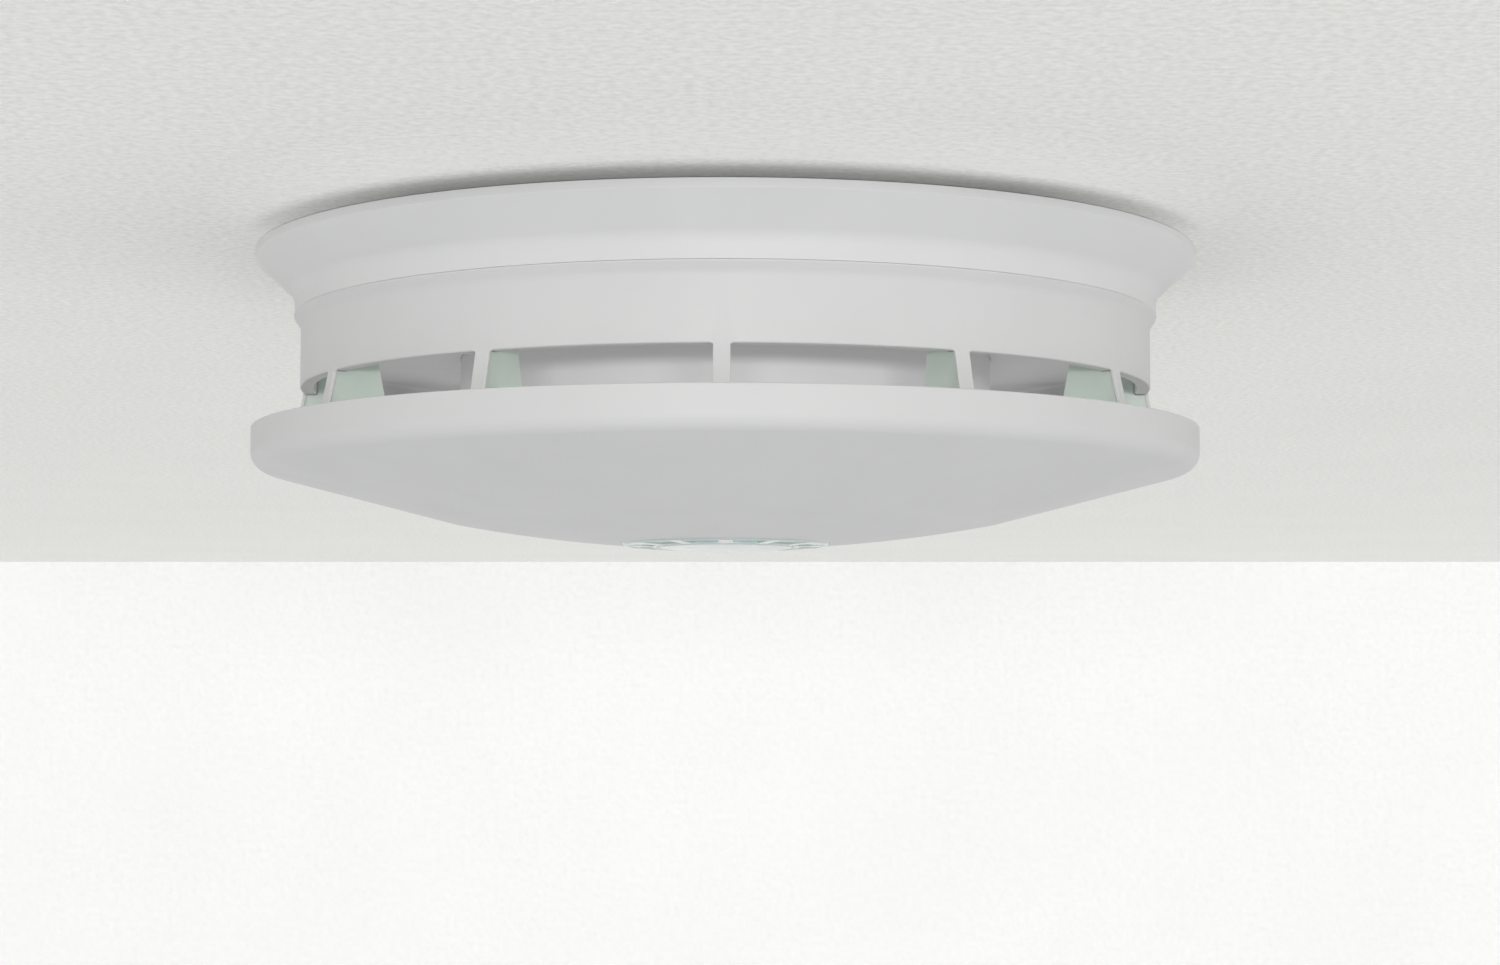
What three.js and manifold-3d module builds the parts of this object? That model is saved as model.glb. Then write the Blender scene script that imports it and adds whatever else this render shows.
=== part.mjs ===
// A round ceiling smoke alarm: a flared mounting base, a drum-shaped casing that twists onto it, a ring of
// twelve thin ribs that leaves the smoke inlet open all round, and a wide shallow disc below, with a round
// lens and a test button in its middle.
//
// Millimetres, +Z up. The origin is the middle of the face that lies against the ceiling, so everything
// hangs below z = 0. Angles are in degrees, anticlockwise from +X seen from above, and the front is -Y.

import * as THREE from "three";
import { mergeVertices } from "three/addons/utils/BufferGeometryUtils.js";
import Module from "manifold-3d";

const wasm = await Module();
wasm.setup();

// ---------------------------------------------------------------- driving dimensions

const RING_SEGMENTS = 48; // four facets between neighbouring ribs
const RIB_COUNT = 12;
const GAP = 0.15; // between the shells where they meet
const FIT = 0.1; // between small pieces that touch in the real alarm

// Outer radii, from the ceiling down.
const LIP_R = 64.65; // the base's rim on the ceiling
const BAND_R = 59.3; // the base's narrow lower band
const DRUM_R = 58.45; // the casing's wall
const DISC_R = 65; // the front disc
const HUB_R = 36.6; // the shroud in the middle of the smoke inlet
const LENS_R = 14.35;
const BUTTON_R = 9.4;

// Levels, from the ceiling down.
const LIP_Z = -1.16;
const FLARE_Z = -6.15; // where the flare meets the band
const BASE_Z = -8.85; // underside of the base
const CASING_TOP_Z = BASE_Z - GAP;
const DECK_Z = -12.6; // the floor inside the casing
const DECK_UNDER_Z = DECK_Z - 1.6;
const CASING_Z = -18.85; // underside of the casing's wall: the inlet's upper edge
const RIM_Z = -24.3; // the disc's upper edge: the inlet's lower edge
const FLOOR_Z = -25.3; // the inlet's floor, sunk into the disc
const BOARD_Z = -27.2; // upper side of the circuit board
const BOTTOM_Z = -40; // where the disc's underside would meet the axis

const WALL = 1.8; // moulded wall thickness
const FLANGE_TOP_Z = DECK_Z + 1.3; // the shroud's flange rests on the deck
const BULKHEAD_TOP_Z = FLANGE_TOP_Z + FIT + 1.3;
const BOARD_UNDER_Z = BOARD_Z - 1.6;

// The disc's underside: a cone, then a shallow spherical cap.
const CONE_ANGLE = THREE.MathUtils.degToRad(14.65);
const CAP_R = 38.5;
const CAP_SPHERE_R = 210;

// The bayonet between the base and the head.
const NECK_R = 48.6; // the head's neck, which carries the lugs
const LUG_ANGLES = [30, 150, 270];
const LUG_ARC = 14;
const LUG_TOP_Z = -3.6;
const LUG_Z = -4.8;
const HOOK_WALL_R = 52.6;

// What the head holds.
const CHAMBER = { y: 11.5, r: 17.5 };
const OPTICS_ANGLES = [205, 335]; // the emitter and the photodiode look past each other
const OPTICS_SEAT_Z = -23;
const SOUNDER = { y: 13, r: 19 };
const BATTERY = { y: -21.2, r: 8.5, length: 34.5 };
const SLIDER_R = 14; // the activation slider's distance from the axis
const SLIDER_TIP_Z = -1.1;
const BUTTON_TRAVEL = 0.9;
const SCREW_SHANK_R = 1.25;
const SCREW_HOLE_R = 1.4;
const STACK_SCREW_R = 32;
const STACK_SCREW_Z = -33.5; // the stack screws' tips
const STACK_SCREW_ANGLES = [-15, 45, 135, 195];
const COVER_SCREW_R = 51.5;
const COVER_SCREW_ANGLES = [0, 90, 180, 255];
const LEAD_R = 0.55;
const LEAD_Y = -9.4; // where the leads go down through the bulkhead

// ---------------------------------------------------------------- materials

function plastic(color, roughness = 0.45) {
  return new THREE.MeshStandardMaterial({ color, roughness, metalness: 0 });
}

function metal(color, roughness = 0.3) {
  return new THREE.MeshStandardMaterial({ color, roughness, metalness: 1 });
}

const WHITE = plastic(0xe9e9ea);
const SHADE_WHITE = plastic(0xdededf, 0.55);
const BLACK = plastic(0x18181a, 0.6);
const GREY = plastic(0x55585c, 0.5);
const BOARD_GREEN = plastic(0x1f6b3c, 0.4);
const BATTERY_WRAP = plastic(0x3d5a80, 0.35);
const RED_WIRE = plastic(0xb3261e);
const LED_WHITE = plastic(0xf5f3e6, 0.2);
const PALE_GREEN_CLEAR = new THREE.MeshStandardMaterial({
  color: 0xb8d6c6,
  roughness: 0.2,
  metalness: 0,
  transparent: true,
  opacity: 0.6,
});
const STEEL = metal(0xb8bcc0);
const BRASS = metal(0xc9a650);

// ---------------------------------------------------------------- shapes and solids

const radians = THREE.MathUtils.degToRad;

function polar(r, degrees) {
  return [r * Math.cos(radians(degrees)), r * Math.sin(radians(degrees))];
}

/** A solid of revolution about Z from a closed outline of [r, z] points, which may touch the axis. */
function revolve(profile, segments = RING_SEGMENTS) {
  const points = profile.map(([r, z]) => new THREE.Vector2(r, z));
  if (THREE.ShapeUtils.area(points) < 0) points.reverse();
  const onAxis = points.some((p) => p.x === 0);
  if (onAxis) {
    while (points[0].x !== 0 || points.at(-1).x !== 0) points.push(points.shift());
  } else {
    points.push(points[0].clone());
  }
  return new THREE.LatheGeometry(points, segments).rotateX(Math.PI / 2);
}

function tube(innerR, outerR, lowZ, highZ, segments) {
  return revolve([[innerR, lowZ], [outerR, lowZ], [outerR, highZ], [innerR, highZ]], segments);
}

function cylinder(r, lowZ, highZ, x = 0, y = 0, segments = 12) {
  const height = highZ - lowZ;
  return new THREE.CylinderGeometry(r, r, height, segments)
    .rotateX(Math.PI / 2)
    .translate(x, y, lowZ + height / 2);
}

/** A box by its middle in plan, its plan size and its lowest and highest z. */
function block(x, y, width, depth, lowZ, highZ) {
  const height = highZ - lowZ;
  return new THREE.BoxGeometry(width, depth, height).translate(x, y, lowZ + height / 2);
}

/** A plan outline pulled straight up between two levels. */
function prism(shape, lowZ, highZ, curveSegments) {
  const options = { depth: highZ - lowZ, bevelEnabled: false, curveSegments };
  return new THREE.ExtrudeGeometry(shape, options).translate(0, 0, lowZ);
}

/** A piece of a ring, between two radii, two angles and two levels. */
function sector(innerR, outerR, startAngle, endAngle, lowZ, highZ) {
  const [start, end] = [radians(startAngle), radians(endAngle)];
  const shape = new THREE.Shape();
  shape.moveTo(innerR * Math.cos(start), innerR * Math.sin(start));
  shape.absarc(0, 0, outerR, start, end, false);
  shape.absarc(0, 0, innerR, end, start, true);
  return prism(shape, lowZ, highZ, Math.ceil((endAngle - startAngle) / 12));
}

/** A flat blade standing on a radius: an outline of [r, z] points with a thickness across the radius. */
function blade(outline, thickness, angle) {
  const shape = new THREE.Shape(outline.map(([r, z]) => new THREE.Vector2(r, z)));
  return new THREE.ExtrudeGeometry(shape, { depth: thickness, bevelEnabled: false })
    .rotateX(Math.PI / 2)
    .translate(0, thickness / 2, 0)
    .rotateZ(radians(angle));
}

/** A round section swept along a curve, closed at both ends. */
function sweep(curve, sectionR, sides, steps) {
  const section = new THREE.Shape(
    aroundTurn(sides).map((angle) => new THREE.Vector2(...polar(sectionR, angle))),
  );
  return new THREE.ExtrudeGeometry(section, { steps, bevelEnabled: false, extrudePath: curve });
}

function solidOf(geometry) {
  const bare = geometry.clone();
  bare.deleteAttribute("normal");
  bare.deleteAttribute("uv");
  const merged = mergeVertices(bare, 1e-4);
  return new wasm.Manifold(
    new wasm.Mesh({
      numProp: 3,
      vertProperties: merged.attributes.position.array,
      triVerts: new Uint32Array(merged.index.array),
    }),
  );
}

/** One geometry from a first one, with others joined to it and others cut from it. */
function joinAndCut(first, joined = [], cut = []) {
  let solid = solidOf(first);
  for (const geometry of joined) solid = solid.add(solidOf(geometry));
  for (const geometry of cut) solid = solid.subtract(solidOf(geometry));
  const mesh = solid.getMesh();
  return new THREE.BufferGeometry()
    .setAttribute("position", new THREE.BufferAttribute(mesh.vertProperties, 3))
    .setIndex(new THREE.BufferAttribute(mesh.triVerts, 1));
}

/** Angles that share out a full turn. */
function aroundTurn(count, start = 0) {
  return Array.from({ length: count }, (_, i) => start + (i * 360) / count);
}

// ---------------------------------------------------------------- the base on the ceiling

/** Keyhole outline for a ceiling screw: the head goes in at the wide end and is held at the narrow one. */
function keyhole(x) {
  const [headR, shankR, halfLength] = [4.4, 2.2, 6];
  const meet = Math.asin(shankR / headR);
  const shape = new THREE.Shape();
  shape.absarc(x, -halfLength, headR, Math.PI / 2 + meet, Math.PI / 2 - meet + 2 * Math.PI, false);
  shape.absarc(x, halfLength, shankR, 0, Math.PI, false);
  return shape;
}

function mountingBase() {
  const plateZ = -2.2;
  const innerR = BAND_R - WALL - FIT;
  const shell = revolve([
    [0, 0],
    [LIP_R, 0],
    [LIP_R, LIP_Z],
    [BAND_R, FLARE_Z],
    [BAND_R, BASE_Z],
    [innerR, BASE_Z],
    [innerR, FLARE_Z + 0.55],
    [LIP_R - 3.6, plateZ],
    [0, plateZ],
  ]);
  // Each hook is a wall, a ledge that the lug rests over, and a stop that the lug turns against.
  const ledgeR = NECK_R + 0.8;
  const [ledgeTopZ, ledgeZ] = [LUG_Z - 0.3, LUG_Z - 1.5];
  const hooks = LUG_ANGLES.flatMap((angle) => {
    const [start, lugEnd] = [angle - 0.5, angle + LUG_ARC + 0.35];
    const end = lugEnd + 2.5;
    return [
      sector(HOOK_WALL_R, HOOK_WALL_R + 1.6, start, end, ledgeZ, plateZ + 0.2),
      sector(ledgeR, HOOK_WALL_R + 0.2, start, end, ledgeZ, ledgeTopZ),
      sector(ledgeR, HOOK_WALL_R + 0.2, lugEnd, end, ledgeTopZ - 0.2, plateZ + 0.2),
    ];
  });
  const screwSlots = [-30, 30].map((x) => prism(keyhole(x), plateZ - 1, 1, 6));
  const sliderSocket = block(0, -SLIDER_R, 2.6, 3, plateZ - 1, SLIDER_TIP_Z + 0.3);
  return joinAndCut(shell, hooks, [...screwSlots, sliderSocket]);
}

// ---------------------------------------------------------------- the head's shells

/** The head's back, a hat-shaped cover whose neck carries the three bayonet lugs. */
function rearCover() {
  const [topZ, ceilingZ] = [-3, -4.5];
  const [shelfZ, shelfUnderZ] = [-6.8, -8.3];
  const edgeR = 56.2;
  const skirtR = edgeR - 1.4;
  const shell = revolve([
    [0, topZ],
    [NECK_R, topZ],
    [NECK_R, shelfZ],
    [edgeR, shelfZ],
    [edgeR, -10.6],
    [skirtR, -10.6],
    [skirtR, shelfUnderZ],
    [NECK_R - 1.5, shelfUnderZ],
    [NECK_R - 1.5, ceilingZ],
    [0, ceilingZ],
  ]);
  const lugs = LUG_ANGLES.map((angle) =>
    sector(NECK_R - 0.6, HOOK_WALL_R - 0.7, angle, angle + LUG_ARC, LUG_Z, LUG_TOP_Z),
  );
  const sliderSlot = sector(SLIDER_R - 1.7, SLIDER_R + 1.7, 263, 292, ceilingZ - 1, topZ + 1);
  const screwHoles = COVER_SCREW_ANGLES.map((angle) => {
    const [x, y] = polar(COVER_SCREW_R, angle);
    const profile = [[0, shelfUnderZ - 1], [SCREW_HOLE_R, shelfUnderZ - 1], [SCREW_HOLE_R, shelfZ - 1.45]];
    profile.push([2.85, shelfZ + 0.05], [2.85, shelfZ + 1], [0, shelfZ + 1]);
    return revolve(profile, 10).translate(x, y, 0);
  });
  return joinAndCut(shell, lugs, [sliderSlot, ...screwHoles]);
}

/** The drum: its wall, the deck inside it and the twelve thin ribs that stand in front of the vanes. */
function casing() {
  const innerR = DRUM_R - WALL;
  const shell = revolve([
    [DRUM_R + 0.7, CASING_TOP_Z],
    [DRUM_R, CASING_TOP_Z - 0.95],
    [DRUM_R, CASING_Z],
    [innerR, CASING_Z],
    [innerR, DECK_UNDER_Z],
    [HUB_R + 0.6, DECK_UNDER_Z],
    [HUB_R + 0.6, DECK_Z],
    [innerR, DECK_Z],
    [innerR, CASING_TOP_Z],
  ]);
  const ribOutline = [
    [DRUM_R - 0.1, CASING_Z + 1.2],
    [DRUM_R - 0.1, CASING_Z + 0.25],
    [DRUM_R + 1.15, RIM_Z + GAP],
    [DRUM_R + 0.7, RIM_Z + GAP],
    [DRUM_R - 0.55, CASING_Z],
    [DRUM_R - 0.55, CASING_Z + 1.2],
  ];
  const ribs = aroundTurn(RIB_COUNT).map((angle) => blade(ribOutline, 2.1, angle));
  const bosses = COVER_SCREW_ANGLES.map((angle) =>
    cylinder(2.7, DECK_Z - 0.1, -8.5, ...polar(COVER_SCREW_R, angle), 10),
  );
  const screwHoles = COVER_SCREW_ANGLES.map((angle) =>
    cylinder(SCREW_HOLE_R, DECK_Z - 0.2, -8, ...polar(COVER_SCREW_R, angle), 10),
  );
  const soundPorts = [62, 71, 80, 96, 105, 114].map((angle) =>
    sector(42, 49, angle, angle + 4, DECK_UNDER_Z - 1, DECK_Z + 1),
  );
  return joinAndCut(shell, [...ribs, ...bosses], [...screwHoles, ...soundPorts]);
}

/** Twelve clear radial vanes on one thin ring, which stands on the inlet's floor. */
function vaneRing() {
  const ring = tube(50.2, 57.4, FLOOR_Z + GAP, FLOOR_Z + 0.8);
  const outline = [
    [50.7, FLOOR_Z + 0.5],
    [57.2, FLOOR_Z + 0.5],
    [57.2, RIM_Z + 0.1],
    [DRUM_R + 0.55, RIM_Z + 0.1],
    [DRUM_R - 0.6, CASING_Z - 0.25],
    [DRUM_R - WALL - 0.3, CASING_Z - 0.25],
    [DRUM_R - WALL - 0.3, DECK_UNDER_Z - 0.3],
    [52.5, DECK_UNDER_Z - 0.3],
  ];
  const vanes = aroundTurn(RIB_COUNT).map((angle) => blade(outline, 1.9, angle));
  return joinAndCut(ring, vanes);
}

/** Points down the disc's outside from its rim to an inner radius, moved up by a thickness. */
function discSection(rimFilletR, innermostR, rise) {
  const capZ = (r) => BOTTOM_Z + rise + CAP_SPHERE_R - Math.sqrt(CAP_SPHERE_R ** 2 - r ** 2);
  const coneZ = (r) => capZ(CAP_R) + (r - CAP_R) * Math.tan(CONE_ANGLE);
  const filletArc = Math.PI / 2 - CONE_ANGLE;
  const rimR = DISC_R - rise;
  const filletTopZ = coneZ(rimR) + rimFilletR * Math.tan(filletArc / 2);
  const fillet = [0, 1 / 3, 2 / 3, 1].map((part) => {
    const turn = part * filletArc;
    const r = rimR - rimFilletR * (1 - Math.cos(turn));
    return [r, filletTopZ - rimFilletR * Math.sin(turn)];
  });
  const cap = [CAP_R, (CAP_R + innermostR) / 2, innermostR].map((r) => [r, capZ(r)]);
  return [...fillet, ...cap];
}

/** The disc that shows from below: a shallow bowl with a round hole for the lens. */
function frontCover() {
  const holeR = LENS_R + 0.3;
  const ledgeR = DISC_R - WALL - 1.4;
  const outside = discSection(2.4, holeR, 0);
  const inside = discSection(0.8, holeR, WALL).reverse();
  const shell = revolve([
    [DISC_R - WALL, RIM_Z],
    [DISC_R, RIM_Z],
    ...outside,
    ...inside.filter(([r]) => r < ledgeR),
    [ledgeR, FLOOR_Z - 1.7],
    [DISC_R - WALL, FLOOR_Z - 1.7],
  ]);
  const bosses = STACK_SCREW_ANGLES.map((angle) =>
    cylinder(2.8, BOTTOM_Z + 3.5, BOARD_UNDER_Z - GAP, ...polar(STACK_SCREW_R, angle), 10),
  );
  const screwHoles = STACK_SCREW_ANGLES.map((angle) =>
    cylinder(SCREW_HOLE_R, STACK_SCREW_Z - 1, BOARD_UNDER_Z + 1, ...polar(STACK_SCREW_R, angle), 10),
  );
  return joinAndCut(shell, bosses, screwHoles);
}

function inletFloor() {
  return tube(HUB_R + 0.3, DISC_R - WALL - 0.2, FLOOR_Z - 1.5, FLOOR_Z);
}

/** The drum in the middle of the inlet, with a row of smoke slots round its foot. */
function inletShroud() {
  const innerR = HUB_R - 1.6;
  const flangeR = HUB_R + 2.9;
  const footZ = FLOOR_Z - 1.3;
  const wall = revolve([
    [innerR, footZ],
    [HUB_R, footZ],
    [HUB_R, DECK_Z + FIT],
    [flangeR, DECK_Z + FIT],
    [flangeR, FLANGE_TOP_Z],
    [innerR, FLANGE_TOP_Z],
  ]);
  const slots = aroundTurn(24, 3).map((angle) =>
    sector(innerR - 1, HUB_R + 1, angle, angle + 9, RIM_Z + 0.1, RIM_Z + 2.2),
  );
  return joinAndCut(wall, [], slots);
}

/** The plate over the hub that carries the sounder and the activation switch. */
function bulkhead() {
  const [underZ, topZ] = [FLANGE_TOP_Z + FIT, BULKHEAD_TOP_Z];
  const plate = cylinder(HUB_R + 2.7, underZ, topZ, 0, 0, 48);
  const batteryOpening = block(0, BATTERY.y, BATTERY.length + 3, 10.8, underZ - 1, topZ + 1);
  const leadOpenings = [-12, 12].map((x) => block(x, LEAD_Y, 6.5, 3.4, underZ - 1, topZ + 1));
  const screwHoles = STACK_SCREW_ANGLES.map((angle) =>
    cylinder(SCREW_HOLE_R, underZ - 1, topZ + 1, ...polar(STACK_SCREW_R, angle), 10),
  );
  return joinAndCut(plate, [], [batteryOpening, ...leadOpenings, ...screwHoles]);
}

// ---------------------------------------------------------------- the smoke chamber

/** The chamber's floor with its labyrinth of slanting vanes and the two seats for the optics. */
function chamberBase() {
  const floorZ = BOARD_Z + 1.6;
  const vaneTopZ = -17.3;
  const plate = cylinder(CHAMBER.r, BOARD_Z + FIT, floorZ, 0, 0, 32);
  const vanes = aroundTurn(16, 11.25).map((angle) =>
    block(0, 0, 5, 1, floorZ - 0.2, vaneTopZ)
      .rotateZ(radians(40))
      .translate(14.6, 0, 0)
      .rotateZ(radians(angle)),
  );
  const seats = OPTICS_ANGLES.map((angle) =>
    block(9.4, 0, 4.4, 4.4, floorZ - 0.2, OPTICS_SEAT_Z).rotateZ(radians(angle)),
  );
  return joinAndCut(plate, [...vanes, ...seats]).translate(0, CHAMBER.y, 0);
}

function chamberCap() {
  const rimR = CHAMBER.r + 0.4;
  const [topZ, ceilingZ, rimZ] = [-15.7, -17.1, -18.4];
  const profile = [[0, topZ], [rimR, topZ], [rimR, rimZ], [rimR - 0.5, rimZ], [rimR - 0.5, ceilingZ]];
  profile.push([0, ceilingZ]);
  return revolve(profile, 32).translate(0, CHAMBER.y, 0);
}

/** A round-nosed diode lying on its seat and looking at the middle of the chamber. */
function diode(angle) {
  const bodyR = 1.5;
  return revolve([[0, -2], [bodyR, -2], [bodyR, 1.2], [1.1, 2.1], [0, 2.5]], 12)
    .rotateY(-Math.PI / 2)
    .translate(9.6, 0, OPTICS_SEAT_Z + bodyR + FIT)
    .rotateZ(radians(angle))
    .translate(0, CHAMBER.y, 0);
}

// ---------------------------------------------------------------- board, battery and sounder

function mainBoard() {
  const plate = cylinder(46, BOARD_UNDER_Z, BOARD_Z, 0, 0, 48);
  const screwHoles = STACK_SCREW_ANGLES.map((angle) =>
    cylinder(1.7, BOARD_UNDER_Z - 1, BOARD_Z + 1, ...polar(STACK_SCREW_R, angle), 10),
  );
  return joinAndCut(plate, [], screwHoles);
}

const BATTERY_AXIS_Z = BOARD_Z + 0.25 + BATTERY.r;

/** A lithium cell on its side along X, with its positive cap at +X. */
function battery() {
  const half = BATTERY.length / 2;
  const profile = [
    [0, -half],
    [BATTERY.r - 0.5, -half],
    [BATTERY.r, -half + 0.5],
    [BATTERY.r, half - 1.6],
    [BATTERY.r - 0.6, half - 1],
    [3.2, half - 1],
    [3.2, half],
    [0, half],
  ];
  return revolve(profile, 28)
    .rotateY(Math.PI / 2)
    .translate(0, BATTERY.y, BATTERY_AXIS_Z);
}

/** A bent nickel strip from a pole of the cell down to the board. */
function batteryTab(side) {
  const x = side * (BATTERY.length / 2 + 0.3);
  const upright = block(x, BATTERY.y, 0.3, 4, BOARD_Z + FIT, BATTERY_AXIS_Z + 2);
  const foot = block(x + side * 1.2, BATTERY.y, 2.6, 4, BOARD_Z + FIT, BOARD_Z + 0.4);
  return joinAndCut(upright, [foot]);
}

function sounderCup() {
  const [floorZ, rimZ, ledgeZ] = [BULKHEAD_TOP_Z + FIT, -5.25, -7];
  const [rimR, ledgeR] = [SOUNDER.r - 1.4, SOUNDER.r - 2.8];
  const outside = [[0, floorZ], [SOUNDER.r, floorZ], [SOUNDER.r, rimZ], [rimR, rimZ]];
  const inside = [[rimR, ledgeZ], [ledgeR, ledgeZ], [ledgeR, floorZ + 1], [0, floorZ + 1]];
  return revolve([...outside, ...inside], 32).translate(0, SOUNDER.y, 0);
}

function piezoDisc() {
  return cylinder(SOUNDER.r - 1.6, -6.9, -6.6, 0, SOUNDER.y, 32);
}

function sounderLid() {
  return tube(5, SOUNDER.r - 0.1, -5.15, -4.65, 32).translate(0, SOUNDER.y, 0);
}

/** An insulated wire through a list of points. */
function lead(points) {
  const curve = new THREE.CatmullRomCurve3(points.map((p) => new THREE.Vector3(...p)), false, "centripetal");
  return sweep(curve, LEAD_R, 6, 14);
}

function sounderLead(x) {
  const drop = [-10.6, -18, BOARD_Z + FIT].map((z) => [x, LEAD_Y, z]);
  return lead([[x - 3.5, LEAD_Y + 3.5, -7.6], [x - 2, LEAD_Y + 1.8, -8.2], ...drop]);
}

function switchLead() {
  const drop = [-10.6, -18, BOARD_Z + FIT].map((z) => [-11, LEAD_Y, z]);
  return lead([[-3.4, LEAD_Y - 3.1, -8.2], [-6, LEAD_Y - 1.8, -8.3], [-9.6, LEAD_Y - 0.6, -8.9], ...drop]);
}

// ---------------------------------------------------------------- switches, button and lens

/** A slide switch, which the activation slider works from above. */
function slideSwitch() {
  return block(1.8, -SLIDER_R, 9, 3.6, BULKHEAD_TOP_Z + FIT, -6.4);
}

/** A foot that slides on the switch and a tongue that reaches up into the base. */
function activationSlider() {
  const foot = block(0, -SLIDER_R, 4.6, 3, -6.3, -5.4);
  const tongue = block(0, -SLIDER_R, 2.1, 2.3, -5.5, SLIDER_TIP_Z);
  return joinAndCut(foot, [tongue]);
}

const TACT_Z = BOARD_UNDER_Z - 3.6;
const PLUNGER_Z = TACT_Z - 1.8;
const BUTTON_CEILING_Z = BOTTOM_Z + 1.6; // the button's inner face, which the spring pushes

function tactSwitch() {
  const body = block(0, 0, 6, 6, TACT_Z, BOARD_UNDER_Z - FIT);
  const well = cylinder(1.95, TACT_Z - 1, TACT_Z + 0.7 + BUTTON_TRAVEL + 0.2);
  return joinAndCut(body, [], [well]);
}

function switchPlunger() {
  return cylinder(1.75, PLUNGER_Z, TACT_Z + 0.7);
}

/** The button: a shallow cap with a collar that keeps it in the lens, and a stem up to the switch. */
function testButton() {
  const [collarTopZ, collarZ] = [-36.7, -37.5];
  return revolve(
    [
      [0, BOTTOM_Z - 0.3],
      [5.5, BOTTOM_Z - 0.24],
      [BUTTON_R - 0.4, BOTTOM_Z - 0.13],
      [BUTTON_R, BOTTOM_Z + 0.25],
      [BUTTON_R, collarZ],
      [BUTTON_R + 0.9, collarZ],
      [BUTTON_R + 0.9, collarTopZ],
      [BUTTON_R - 1.2, collarTopZ],
      [BUTTON_R - 1.2, BUTTON_CEILING_Z],
      [2.2, BUTTON_CEILING_Z],
      [2.2, PLUNGER_Z - FIT],
      [0, PLUNGER_Z - FIT],
    ],
    32,
  );
}

/** The clear ring round the button, with a collar that takes the light from the board. */
function lensRing() {
  const boreR = BUTTON_R + 0.3;
  const collarR = 12.4;
  return revolve(
    [
      [boreR, BOTTOM_Z + 0.3],
      [boreR + 0.3, BOTTOM_Z],
      [LENS_R - 0.4, BOTTOM_Z + 0.22],
      [LENS_R, BOTTOM_Z + 0.5],
      [LENS_R, -37.4],
      [LENS_R + 1.4, -37.4],
      [LENS_R + 1.4, -36.6],
      [collarR, -36.6],
      [collarR, -30.9],
      [collarR - 1.6, -30.9],
      [collarR - 1.6, -37.6],
      [boreR, -37.6],
    ],
    40,
  );
}

class Helix extends THREE.Curve {
  constructor(r, lowZ, highZ, turns) {
    super();
    Object.assign(this, { r, lowZ, highZ, turns });
  }

  getPoint(t) {
    const turn = 2 * Math.PI * this.turns * t;
    const z = this.lowZ + (this.highZ - this.lowZ) * t;
    return new THREE.Vector3(this.r * Math.cos(turn), this.r * Math.sin(turn), z);
  }
}

function buttonSpring() {
  const wireR = 0.28;
  const [turns, stepsPerTurn] = [4.5, 10];
  const helix = new Helix(6.6, BUTTON_CEILING_Z + wireR + FIT, BOARD_UNDER_Z - wireR - FIT, turns);
  return sweep(helix, wireR, 5, turns * stepsPerTurn);
}

/** A small lamp under the board, over the lens's collar. */
function lamp(angle) {
  return block(11.5, 0, 2.6, 3.2, BOARD_UNDER_Z - 1.5, BOARD_UNDER_Z - FIT).rotateZ(radians(angle));
}

// ---------------------------------------------------------------- fasteners

/** A screw along Z with its head's top at topZ, countersunk or flat under the head. */
function screw(x, y, topZ, { headR, headHeight, length, countersunk }) {
  const headEdgeZ = countersunk ? topZ - 0.2 : topZ - headHeight;
  const profile = [
    [0, topZ],
    [headR, topZ],
    [headR, headEdgeZ],
    [SCREW_SHANK_R, topZ - headHeight],
    [SCREW_SHANK_R, topZ - length + 1],
    [0, topZ - length],
  ];
  return revolve(profile, 10).translate(x, y, 0);
}

function coverScrew(angle) {
  const kind = { headR: 2.4, headHeight: 1.35, length: 5.6, countersunk: true };
  return screw(...polar(COVER_SCREW_R, angle), -6.88, kind);
}

function stackScrew(angle) {
  const [headHeight, topZ] = [1.7, BULKHEAD_TOP_Z + FIT + 1.7];
  const kind = { headR: 2.6, headHeight, length: topZ - STACK_SCREW_Z, countersunk: false };
  return screw(...polar(STACK_SCREW_R, angle), topZ, kind);
}

// ---------------------------------------------------------------- the assembly

const alarm = new THREE.Group();

function add(name, geometry, material, parent = alarm) {
  const mesh = new THREE.Mesh(geometry, material);
  mesh.name = name;
  parent.add(mesh);
}

add("mounting_base", mountingBase(), WHITE);

const head = new THREE.Group();
alarm.add(head);

add("rear_cover", rearCover(), WHITE, head);
add("casing", casing(), WHITE, head);
add("vane_ring", vaneRing(), PALE_GREEN_CLEAR, head);
add("front_cover", frontCover(), WHITE, head);
add("inlet_floor", inletFloor(), WHITE, head);
add("inlet_shroud", inletShroud(), SHADE_WHITE, head);
add("insect_screen", tube(HUB_R - 2.1, HUB_R - 1.75, FLOOR_Z - 1, RIM_Z + 3.4, 48), STEEL, head);
add("bulkhead", bulkhead(), GREY, head);

add("chamber_base", chamberBase(), BLACK, head);
add("chamber_cap", chamberCap(), BLACK, head);
add("ir_emitter", diode(OPTICS_ANGLES[0]), LED_WHITE, head);
add("photodiode", diode(OPTICS_ANGLES[1]), GREY, head);

add("main_board", mainBoard(), BOARD_GREEN, head);
add("microcontroller", block(-24, 8, 9, 9, BOARD_UNDER_Z - 1.2, BOARD_UNDER_Z - FIT), BLACK, head);
add("inductor", block(25, 10, 7.3, 7.3, BOARD_UNDER_Z - 3.5, BOARD_UNDER_Z - FIT), GREY, head);
[-14, 14].forEach((x, i) => {
  const can = cylinder(3.2, BOARD_UNDER_Z - 5.4, BOARD_UNDER_Z - FIT, x, -25, 16);
  add(`capacitor_${i + 1}`, can, STEEL, head);
});

add("battery", battery(), BATTERY_WRAP, head);
add("battery_tab_positive", batteryTab(1), STEEL, head);
add("battery_tab_negative", batteryTab(-1), STEEL, head);

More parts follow.
